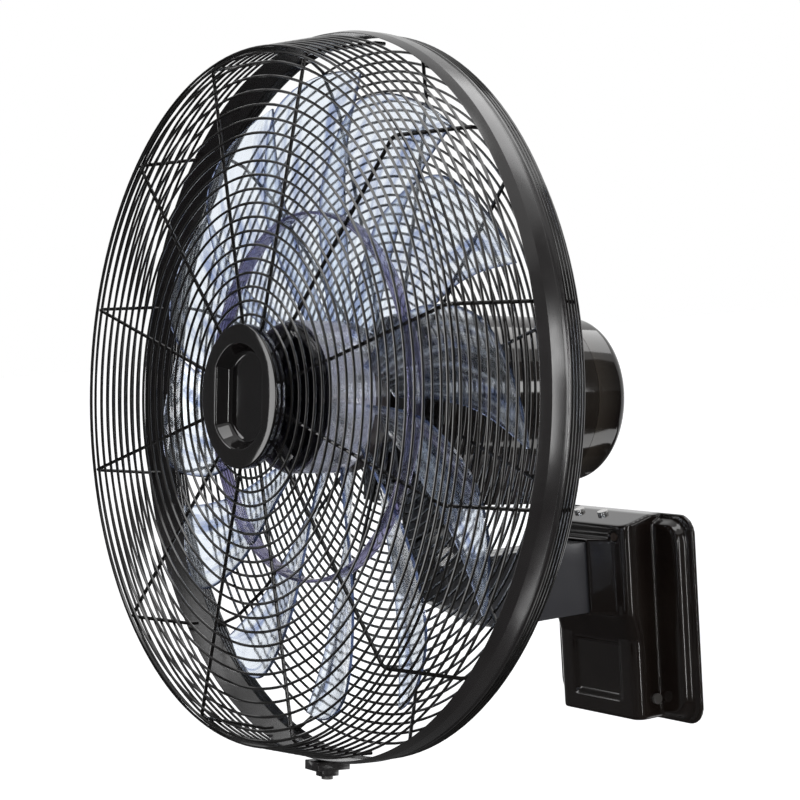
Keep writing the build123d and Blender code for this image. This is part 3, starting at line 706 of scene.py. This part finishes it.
dress(zinc_sheet, "wall_plate")
dress(bright_steel, "top_screws", "tilt_bolt", "swivel_post", "post_cap", "cap_screw")
dress(bright_steel, "ball_bearings")
dress(black_oxide, "side_screws", "clip_screw")
dress(cover_black, "front_plug", "bracket_cover")
dress(nylon, "thrust_washer", "swivel_bush")
dress(acetal, "swing_crank")
dress(drawn_can, "swing_motor")
dress(lamination, "stator", "rotor")
dress(wire_black, "grille_seat", "front_rings", "side_wires", "front_ribs")
dress(wire_black, "rear_ribs", "rear_rings")
dress(knob_black, "grille_nut", "blade_nut", "tilt_knob")
dress(casting_black, "tilt_knuckle")
dress(arm_black, "arm")
dress(gear_black, "gearbox_housing")
dress(motor_black, "motor_housing", "motor_rear_cover")
dress(band_black, "rim_band", "rim_clip")
dress(badge_black, "badge")
dress(blade_clear_painted_streaks, "blade_wheel")

moulded("bracket_cover", cover_black, cell=1.1 * mm, passes=16)
softened("arm", arm_black, width=1.2 * mm)
softened("tilt_knuckle", casting_black, width=1.2 * mm)
softened("tilt_knob", knob_black, width=1.0 * mm)
softened("gearbox_housing", gear_black, width=1.2 * mm)
softened("rim_clip", band_black, width=0.6 * mm)


# ---------------------------------------------------------------- cage
ring_wire_r, rib_wire_r = 1.05 * mm, 1.4 * mm
shoulder_r, shoulder_height = band_r - 17 * mm, 74 * mm
entry_r = band_inner_r - 1.4 * mm
rear_edge_r = band_r - 12.4 * mm
rear_rim_r = band_r - 2.2 * mm

ring_values = {
    "Wire radius": ring_wire_r,
    "Segments": 144,
    "Sides": 6,
    "Material": wire_black,
}
rib_values = {
    "Copies": ribs,
    "First angle": first_rib,
    "Wire radius": rib_wire_r,
    "Sides": 8,
    "Material": wire_black,
}


def along(corners, radius):
    """Height at a radius of a line through corners of radius, height and bend."""
    for (near_r, near, _), (far_r, far, _) in zip(corners, corners[1:]):
        if radius <= far_r:
            return near + (far - near) * (radius - near_r) / (far_r - near_r)
    return corners[-1][1]


def wire_rings(name, places, node):
    """Shows a round wire at each radius and height, in place of a CAD node."""
    mesh = grown(ring_points(places), ring_wires, ring_values)
    on_head(name, mesh, wire_black, node)


def wire_ribs(name, corners, node):
    """Shows bent wires all round the cage, in place of a CAD node."""
    mesh = grown(wire_path(rounded(corners)), wire_spokes, rib_values)
    on_head(name, mesh, wire_black, node)


def front_wires():
    """Rings of the face, the shoulder and the side, and the ribs inside them."""
    ring_height = face_front - ring_wire_r
    badge_ring_r, rib_start_r, edge_ring_r = 50 * mm, 48.8 * mm, shoulder_r - 4.5 * mm
    first, last, count = 60 * mm, shoulder_r - 11.8 * mm, 19
    step = (last - first) / (count - 1)
    places = [(badge_ring_r, ring_height)]
    places += [(first + step * place, ring_height) for place in range(count)]
    places += [(edge_ring_r, ring_height), (shoulder_r, shoulder_height + ring_wire_r)]
    wire_rings("front_ring_wires", places, "front_rings")

    side_first, side_step, side_count = 70.5 * mm, 6.5 * mm, 8
    side_places = []
    for place in range(side_count):
        height = side_first - side_step * place
        share = (shoulder_height - height) / (shoulder_height - band_front)
        side_places.append((shoulder_r + (entry_r - shoulder_r) * share, height))
    wire_rings("side_ring_wires", side_places, "side_wires")

    rib_height = face_front - 2 * ring_wire_r - rib_wire_r
    inside = ring_wire_r + rib_wire_r
    corners = (
        (rib_start_r, rib_height, 0),
        (shoulder_r - inside, rib_height, 5 * mm),
        (entry_r - inside, band_front, 2 * mm),
        (entry_r - inside, band_front - 8 * mm, 0),
    )
    wire_ribs("front_rib_wires", corners, "front_ribs")


def rear_wires():
    """Dished rings of the back, four more behind the band, and the ribs inside them."""
    seat_height = -49.5 * mm
    rib_end_r = rear_rim_r - 2.4 * mm
    corners = (
        (24 * mm, seat_height, 0),
        (42 * mm, seat_height, 8 * mm),
        (150 * mm, -42.5 * mm, 60 * mm),
        (225 * mm, -36.5 * mm, 30 * mm),
        (rear_edge_r, -25.5 * mm, 8 * mm),
        (rib_end_r, band_back - 4 * mm, 1.5 * mm),
        (rib_end_r, band_back + 2 * mm, 0),
    )
    behind = rib_wire_r + ring_wire_r
    first, count = 62 * mm, 29
    step = (rear_edge_r - first) / (count - 1)
    radii = [first + step * place for place in range(count)]
    places = [(radius, along(corners, radius) - behind) for radius in radii]
    places += [(rear_rim_r, band_end - 1.3 * mm * place) for place in (1, 3, 5, 7)]
    wire_rings("rear_ring_wires", places, "rear_rings")
    wire_ribs("rear_rib_wires", corners, "rear_ribs")


ring_wires = ring_wires_tree()
wire_spokes = wire_spokes_tree()
turned = turned_tree()
front_wires()
rear_wires()


# ---------------------------------------------------------------- band, motor, badge
def band():
    """The clamping band: drawn in at its front, flat round its outside, grooved at its back."""
    lip_r, chamfer_back = band_r - 2.1 * mm, band_front - 8.6 * mm
    side_back = -2.8 * mm
    groove_r, groove_front, groove_back = band_r - 1.5 * mm, -3.6 * mm, -6.4 * mm
    bead_r, bead_front = band_r - 0.6 * mm, -7.2 * mm
    corners = (
        (band_inner_r, band_front, 0.5 * mm),
        (lip_r, band_front, 0.4 * mm),
        (band_r, chamfer_back, 0.9 * mm),
        (band_r, side_back, 0.7 * mm),
        (groove_r, groove_front, 0.4 * mm),
        (groove_r, groove_back, 0.4 * mm),
        (bead_r, bead_front, 0.3 * mm),
        (bead_r, band_end, 0.4 * mm),
        (band_inner_r, band_end, 0.4 * mm),
    )
    mesh = lathe(rounded(corners, 4), steps=256)
    on_head("clamp_band", mesh, band_black, "rim_band")


def motor():
    """The motor's can with its nose, and its rounded rear end."""
    seam, wall = 0.12 * mm, 3 * mm
    nose_r, nose_front = 22 * mm, -30 * mm
    bore_r, bore_back = 6 * mm, -44 * mm
    hollow_r, hollow_back = 11 * mm, -219 * mm
    inside_r, inside_front = motor_r - wall, motor_front - wall
    can = (
        (inside_r, motor_split + seam, 0),
        (motor_r - seam, motor_split + seam, 0),
        (motor_r, motor_split + 2 * seam, 0),
        (motor_r, motor_front, 5 * mm),
        (nose_r, motor_front, 0),
        (nose_r, nose_front, 1 * mm),
        (bore_r, nose_front, 0),
        (bore_r, bore_back, 0),
        (hollow_r, bore_back, 0),
        (hollow_r, inside_front, 0),
        (inside_r, inside_front, 0),
    )
    on_head("motor_can", lathe(rounded(can, 6)), motor_black, "motor_housing")
    end = (
        (0, motor_back, 0),
        (motor_r, motor_back, 11 * mm),
        (motor_r, motor_split - seam, 0),
        (hollow_r, motor_split - seam, 0),
        (hollow_r, hollow_back, 0),
        (0, hollow_back, 0),
    )
    mesh = lathe(rounded(end, 12), closed=False)
    on_head("motor_end", mesh, motor_black, "motor_rear_cover")


def centre_badge():
    """The centre badge: a flat rim round a dish with straight sides."""
    front, dish_floor, wall = 86 * mm, 76 * mm, 2.2 * mm
    dish_r, lip_r, hollow_r = 33.5 * mm, 39 * mm, 45 * mm
    corners = (
        (0, dish_floor, 0),
        (dish_r, dish_floor, 5 * mm),
        (lip_r, front, 1.8 * mm),
        (badge_r, front, 1.1 * mm),
        (badge_r, face_front, 0.5 * mm),
        (hollow_r, face_front, 0),
        (hollow_r, dish_floor - wall, 0.5 * mm),
        (0, dish_floor - wall, 0),
    )
    mesh = lathe(rounded(corners, 6), closed=False)
    slope_start, slope_end, draw_in = 28 * mm, 42 * mm, 6.5 * mm
    for point in mesh.vertices:
        radius = math.hypot(point.co.x, point.co.y)
        if slope_start < radius < slope_end and point.co.z > dish_floor - 1 * mm:
            side = radius - draw_in
            point.co.x = min(side, max(-side, point.co.x))
    on_head("centre_badge", mesh, badge_black, "badge")


band()
motor()
centre_badge()


# ---------------------------------------------------------------- blade wheel
# a blade climbs by its pitch in one whole turn, and leans forward from its root to its tip
blade_pitch, blade_lean, blade_base = 410 * mm, 29 * mm, -2 * mm
blade_root_r = hub_r - 2 * mm
blade_thick = 2 * mm
mid_lag, first_tip_lag = 16, 2
hub_wall = 2.4 * mm

# the blade's two edges from the hub out: radius in millimetres, lag in degrees
lead_edge = (
    (55, 4), (100, 3), (140, 2), (170, 0.8), (190, -0.6), (210, -2.2), (226, -3.6), (243, -5),
)
trail_edge = (
    (55, 27), (90, 28.5), (126, 28.5), (155, 27), (183, 23.5), (207, 20), (225, 16),
    (234, 11.5), (238, 8), (240.4, 4.6), (241.8, 1.4), (243, -4),
)


def lag_at(edge, radius):
    """Lag in degrees of a blade's edge at a radius, on a smooth line through its stations."""
    spots = [(place * mm, lag) for place, lag in edge]
    for index in range(1, len(spots)):
        if radius <= spots[index][0] or index == len(spots) - 1:
            break
    (near_r, near), (far_r, far) = spots[index - 1], spots[index]
    before, after = spots[max(0, index - 2)], spots[min(len(spots) - 1, index + 1)]
    span = far_r - near_r
    leave = span * (far - before[1]) / (far_r - before[0])
    arrive = span * (after[1] - near) / (after[0] - near_r)
    t = min(1, max(0, (radius - near_r) / span))
    return (
        (2 * t**3 - 3 * t**2 + 1) * near
        + (t**3 - 2 * t**2 + t) * leave
        + (3 * t**2 - 2 * t**3) * far
        + (t**3 - t**2) * arrive
    )


def blade_height(radius, lag):
    """Height of the blade's helical skin, which leans forward towards its tip."""
    lean = blade_lean * (radius - blade_root_r) / (tip_r - blade_root_r)
    return blade_base + lean + blade_pitch * (lag - mid_lag) / 360


def blade_mesh():
    """One blade, its skin a grid from the root to the tip, given its thickness."""
    rows, columns = 40, 12
    length = tip_r - 0.6 * mm - blade_root_r
    tip_crowding = 0.85
    full_bulge, full_width = 12 * mm, 32
    shape = bmesh.new()
    grid = []
    for row in range(rows + 1):
        share = row / rows
        radius = blade_root_r + length * math.sin(share * math.pi / 2) ** tip_crowding
        lead, trail = lag_at(lead_edge, radius), lag_at(trail_edge, radius)
        line = []
        for column in range(columns + 1):
            across = column / columns
            lag = lead + (trail - lead) * across
            bulge = full_bulge * across * (1 - across) * (trail - lead) / full_width
            turn = math.radians(lag - mid_lag)
            height = blade_height(radius, lag) - bulge
            spot = (radius * math.cos(turn), radius * math.sin(turn), height)
            line.append(shape.verts.new(spot))
        grid.append(line)
    blade_map = shape.loops.layers.uv.new("blade map")
    steps = ((0, 0), (1, 0), (1, 1), (0, 1))
    for row in range(rows):
        for column in range(columns):
            face = shape.faces.new([grid[row + out][column + over] for out, over in steps])
            for loop, (out, over) in zip(face.loops, steps):
                loop[blade_map].uv = ((row + out) / rows, (column + over) / columns)
    bmesh.ops.recalc_face_normals(shape, faces=shape.faces)
    source = linked("blade", mesh_of("blade", shape))
    wall = source.modifiers.new("wall", "SOLIDIFY")
    wall.thickness = blade_thick
    wall.offset = 0
    return settled(source)


def hub_web():
    """One web inside the hub, from its boss to its side."""
    inner, outer, thick = 9.2 * mm, hub_r - 2.6 * mm, 1.6 * mm
    low, high = 4 * mm, hub_front - 9 * mm
    shape = bmesh.new()
    bmesh.ops.create_cube(shape, size=1)
    bmesh.ops.scale(shape, vec=(outer - inner, thick, high - low), verts=shape.verts)
    centre = ((inner + outer) / 2, 0, (low + high) / 2)
    bmesh.ops.translate(shape, vec=centre, verts=shape.verts)
    upright = [
        edge for edge in shape.edges
        if abs(edge.verts[0].co.z - edge.verts[1].co.z) > thick
    ]
    bmesh.ops.bevel(shape, geom=upright, offset=0.4 * mm, segments=1, affect="EDGES")
    return mesh_of("hub web", shape)


def joining_band():
    """The round band that joins the blades."""
    outer_r, inner_r = 138 * mm, 135.6 * mm
    front, back = 30 * mm, 18 * mm
    edge = 0.6 * mm
    corners = (
        (outer_r, front, edge),
        (outer_r, back, edge),
        (inner_r, back, edge),
        (inner_r, front, edge),
    )
    on_wheel("joining_band", lathe(rounded(corners, 3), steps=160), band_smoke)


def hub():
    """The hub's dark nose, its smoked side with painted glints in pale frosted patches, and the
    dark ring at its back.
    """
    nose_r, boss_r, bore_r = hub_r - 1 * mm, 9 * mm, 4 * mm
    nose_back, boss_back, side_back = hub_front - 8.5 * mm, 12 * mm, hub_back + 13 * mm
    nose = (
        (bore_r, hub_front, 0),
        (nose_r, hub_front, 8 * mm),
        (nose_r, nose_back, 0),
        (nose_r - hub_wall, nose_back, 0),
        (nose_r - hub_wall, hub_front - hub_wall, 6 * mm),
        (boss_r, hub_front - hub_wall, 1 * mm),
        (boss_r, boss_back, 0),
        (bore_r, boss_back, 0),
    )
    on_wheel("hub_nose", lathe(rounded(nose, 6)), hub_dark)
    side = (
        (hub_r, nose_back, 0.4 * mm),
        (hub_r, side_back, 0),
        (hub_r - hub_wall, side_back, 0),
        (hub_r - hub_wall, nose_back, 0.4 * mm),
    )
    on_wheel("hub_side", lathe(rounded(side, 4)), smoke_with_painted_glints)
    ring = (
        (hub_r, side_back, 0),
        (hub_r, hub_back, 1 * mm),
        (hub_r - hub_wall, hub_back, 0.4 * mm),
        (hub_r - hub_wall, side_back, 0),
    )
    on_wheel("hub_ring", lathe(rounded(ring, 4)), gear_black)


def wheel():
    """Blades, the band that joins them, and the hub with its webs."""
    first = math.radians(90 - first_tip_lag + mid_lag)
    values = {"Copies": blades, "First angle": first, "Material": blade_clear_painted_streaks}
    on_wheel("wheel_blades", grown(blade_mesh(), turned, values), blade_clear_painted_streaks, ("blade_wheel",))
    joining_band()
    hub()
    values = {"Copies": 2 * blades, "First angle": first, "Material": hub_dark}
    on_wheel("hub_webs", grown(hub_web(), turned, values), hub_dark)


wheel()


# ---------------------------------------------------------------- room, lamps and camera
def background_share(nodes, links):
    """One for what the camera sees, straight, through clear plastic or mirrored in a gloss."""
    path = nodes.new("ShaderNodeLightPath")
    share = path.outputs["Is Camera Ray"]
    for kind in ("Is Transmission Ray", "Is Glossy Ray"):
        either = nodes.new("ShaderNodeMath")
        either.operation = "MAXIMUM"
        links.new(share, either.inputs[0])
        links.new(path.outputs[kind], either.inputs[1])
        share = either.outputs[0]
    return share


def white_background():
    """Shows white to the camera, in gloss and behind glass, and lights the object plainly."""
    world = bpy.data.worlds.new("studio")
    bpy.context.scene.world = world
    world.use_nodes = True
    nodes, links = world.node_tree.nodes, world.node_tree.links
    nodes.clear()
    white = nodes.new("ShaderNodeBackground")
    white.inputs["Color"].default_value = (1, 1, 1, 1)
    white.inputs["Strength"].default_value = 1
    light = nodes.new("ShaderNodeBackground")
    light.inputs["Color"].default_value = (0.97, 0.98, 1, 1)
    light.inputs["Strength"].default_value = 0.55
    mix = nodes.new("ShaderNodeMixShader")
    out = nodes.new("ShaderNodeOutputWorld")
    links.new(background_share(nodes, links), mix.inputs[0])
    links.new(light.outputs[0], mix.inputs[1])
    links.new(white.outputs[0], mix.inputs[2])
    links.new(mix.outputs[0], out.inputs["Surface"])


def staged(mesh, material, mirrored_only=False):
    """Puts up a piece of the studio. One that is mirrored only shows in gloss and nowhere else."""
    mesh.materials.append(material)
    piece = linked(mesh.name, mesh)
    if mirrored_only:
        piece.visible_camera = False
        piece.visible_diffuse = False
        piece.visible_shadow = False
        piece.visible_transmission = False


def floor():
    """A pale floor far below the fan, which takes its shadow and otherwise shows white."""
    reach, level = 30, -1.4
    dark, light, glow = (0.84,) * 3, (0.86,) * 3, 0.62
    corners = [(-reach, -reach), (reach, -reach), (reach, reach), (-reach, reach)]
    mesh = bpy.data.meshes.new("floor")
    mesh.from_pydata([(x, y, level) for x, y in corners], [], [(0, 1, 2, 3)])
    material, shader, place = base_material("pale floor", (0.85, 0.85, 0.85), 0.8)
    coloured(material, shader, noise(material, place, scale=3), dark, light)
    shader.inputs["Emission Color"].default_value = (1, 1, 1, 1)
    links = material.node_tree.links
    seen = background_share(material.node_tree.nodes, links)
    strength = ranged(material, seen, 0, glow, start=0, end=1)
    links.new(strength, shader.inputs["Emission Strength"])
    staged(mesh, material)


def faced(place, target):
    """The turn that brings a thing at a place to face a point."""
    return (Vector(target) - Vector(place)).to_track_quat("-Z", "Y")


def facing(name, place, target, width, height):
    """A flat rectangle that faces a point."""
    mesh = bpy.data.meshes.new(name)
    x, y = width / 2, height / 2
    mesh.from_pydata([(-x, -y, 0), (x, -y, 0), (x, y, 0), (-x, y, 0)], [], [(0, 1, 2, 3)])
    turn = faced(place, target).to_matrix().to_4x4()
    mesh.transform(Matrix.Translation(Vector(place)) @ turn)
    return mesh


def soft_lamp(name, place, width, height, watts):
    """A soft box that faces the fan."""
    data = bpy.data.lights.new(name, "AREA")
    data.shape = "RECTANGLE"
    data.size, data.size_y = width, height
    data.energy = watts
    lamp = linked(name, data)
    lamp.location = place
    lamp.rotation_mode = "QUATERNION"
    lamp.rotation_quaternion = faced(place, fan_middle)


def dark_cloth(name, shade):
    """Matt cloth for what gloss surfaces mirror."""
    material, shader, place = base_material(name, (shade, shade, shade), 0.9)
    weave = noise(material, place, scale=40)
    coloured(material, shader, weave, (0.8 * shade,) * 3, (shade,) * 3)
    shader.inputs["Specular IOR Level"].default_value = 0
    return material


def side_flag():
    """A black card beside the cover that darkens what gloss surfaces mirror."""
    place, target = (0.56, 0.26, 0.0), (0.04, -0.13, 0.0)
    flag = facing("side flag", place, target, width=0.46, height=0.5)
    staged(flag, dark_cloth("side flag", 0.01), mirrored_only=True)


def front_curtain():
    """A dark curtain round the front and sides, over a dark mat, that the fan's gloss mirrors."""
    reach, low, high, centre_y = 3.4, -1.38, 2.7, -0.2
    from_degrees, to_degrees, steps = -188, 62, 40
    stride = (to_degrees - from_degrees) / steps
    turns = [math.radians(from_degrees + stride * step) for step in range(steps + 1)]
    rim = [(reach * math.cos(turn), reach * math.sin(turn) + centre_y) for turn in turns]
    points = [(x, y, z) for z in (low, high) for x, y in rim]
    above = steps + 1
    faces = [(step, step + 1, step + 1 + above, step + above) for step in range(steps)]
    curtain = bpy.data.meshes.new("front curtain")
    curtain.from_pydata(points, [], faces)
    staged(curtain, dark_cloth("dark curtain", 0.2), mirrored_only=True)
    mat = facing("dark mat", (0, centre_y, low), (0, centre_y, 0), 2 * reach, 2 * reach)
    staged(mat, dark_cloth("dark mat cloth", 0.1), mirrored_only=True)


def camera():
    """The photograph's camera, solved from the ellipses of the rim, the shoulder and the badge."""
    place = Vector((1.5118, -1.2416, 0.3174))
    across = Vector((0.56477, 0.82313, -0.05905))
    upward = Vector((-0.02337, 0.08748, 0.99589))
    backward = across.cross(upward)
    data = bpy.data.cameras.new("camera")
    data.sensor_width = 36
    data.lens = 108
    seat = linked("camera", data)
    turn = Matrix((across, upward, backward)).transposed().to_4x4()
    seat.matrix_world = Matrix.Translation(place) @ turn
    bpy.context.scene.camera = seat


fan_middle = (0, -0.2, 0.15)
soft_boxes = (
    # name, place, width and height in metres, watts
    ("overhead box", (0.3, -0.5, 2.0), 1.2, 1.0, 16),
    ("top rear box", (-0.1, 1.3, 1.9), 1.4, 1.0, 14),
    ("left box", (-1.8, -1.8, 0.7), 0.4, 1.6, 8),
    ("front strip", (1.75, -2.4, 0.35), 0.12, 1.3, 22),
    ("right strip", (2.3, -0.75, 0.3), 0.05, 1.8, 12),
    ("rear box", (1.75, 0.9, 0.2), 0.62, 1.2, 20),
    ("low box", (0.7, 1.0, -1.05), 0.55, 0.8, 4),
)

white_background()
floor()
front_curtain()
for soft_box in soft_boxes:
    soft_lamp(*soft_box)
side_flag()
camera()
bpy.context.scene.view_settings.view_transform = "Standard"
